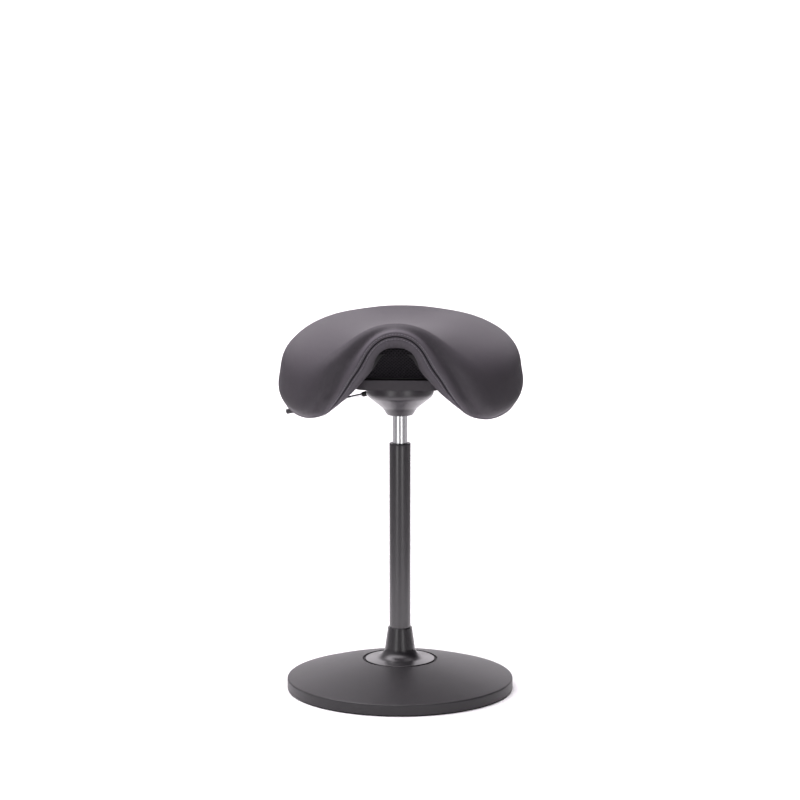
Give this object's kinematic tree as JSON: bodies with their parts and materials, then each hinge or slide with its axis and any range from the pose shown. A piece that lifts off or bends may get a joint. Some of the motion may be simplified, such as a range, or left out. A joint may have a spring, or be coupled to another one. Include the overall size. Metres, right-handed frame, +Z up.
{
  "type": "saddle stool",
  "caption": "Saddle-shaped stool seat on a gas-lift column with a tilting head, side height lever and heavy round floor base.",
  "frame": {"origin": "centre of the round base on the floor", "axes": "+Z up along the column, front of the saddle toward -Y, height lever toward -X"},
  "size_m": [0.458, 0.425, 0.713],
  "materials": {
    "base_paint": "matte",
    "ballast_iron": "matte",
    "column_paint": "satin",
    "steel": "satin",
    "chrome": "polished",
    "rubber": "matte",
    "black_plastic": "matte",
    "bell_plastic": "satin",
    "cast_alloy": "satin",
    "seat_cover": "matte",
    "lining_mesh": "matte"
  },
  "bodies": {
    "base": {"base_cover": "base_paint", "ballast_plate": "ballast_iron", "floor_ring": "rubber", "column_socket": "steel", "socket_bolts": "steel", "column_collar": "column_paint", "collar_seal": "rubber", "column_tube": "column_paint", "column_disc": "steel", "guide_bush": "black_plastic", "race_lower": "steel"},
    "piston": {"piston_rod": "chrome", "race_upper": "steel", "end_buffer": "rubber", "rod_clip": "steel"},
    "bearing": {"ball_cage": "steel", "bearing_balls": "steel"},
    "cylinder": {"gas_cylinder": "chrome", "cylinder_gland": "black_plastic", "tilt_hub": "cast_alloy", "bell_cover": "bell_plastic", "bump_ring": "rubber", "roll_pins": "steel", "lever_pin": "steel"},
    "lever": {"lever_rod": "chrome", "lever_grip": "black_plastic"},
    "valve": {"valve_pin": "steel"},
    "gimbal": {"gimbal_ring": "steel", "gimbal_bushes": "rubber"},
    "seat": {"pitch_pins": "steel", "seat_plate": "steel", "seat_tray": "black_plastic", "seat_bolts": "steel", "seat_shell": "black_plastic", "seat_cushion": "seat_cover", "seat_lining": "lining_mesh"}
  },
  "joints": [
    {"name": "seat_swivel", "type": "hinge", "parent": "base", "child": "piston", "pos_m": [0, 0, 0.032], "axis": [0, 0, 1], "continuous": true},
    {"name": "bearing_spin", "type": "hinge", "parent": "base", "child": "bearing", "pos_m": [0, 0, 0.032], "axis": [0, 0, 1], "continuous": true},
    {"name": "seat_height", "type": "slide", "parent": "piston", "child": "cylinder", "axis": [0, 0, 1], "range_m": [-0.045, 0.15]},
    {"name": "lever_lift", "type": "hinge", "parent": "cylinder", "child": "lever", "pos_m": [-0.02356, 0.00458, 0.5704], "axis": [0.1908, 0.9816, 0], "range_deg": [0, 5], "stiffness_Nm_per_rad": 6},
    {"name": "valve_press", "type": "slide", "parent": "cylinder", "child": "valve", "axis": [0, 0, -1], "range_m": [0, 0.0025]},
    {"name": "seat_roll", "type": "hinge", "parent": "cylinder", "child": "gimbal", "pos_m": [0, 0, 0.586], "axis": [0, 1, 0], "range_deg": [-5, 5], "stiffness_Nm_per_rad": 300},
    {"name": "seat_pitch", "type": "hinge", "parent": "gimbal", "child": "seat", "pos_m": [0, 0, 0.586], "axis": [1, 0, 0], "range_deg": [-5, 5], "stiffness_Nm_per_rad": 300}
  ],
  "couplings": [
    {"joint": "bearing_spin", "follows": "seat_swivel", "ratio": 0.5},
    {"joint": "valve_press", "follows": "lever_lift", "m_per_rad": 0.0245}
  ]
}
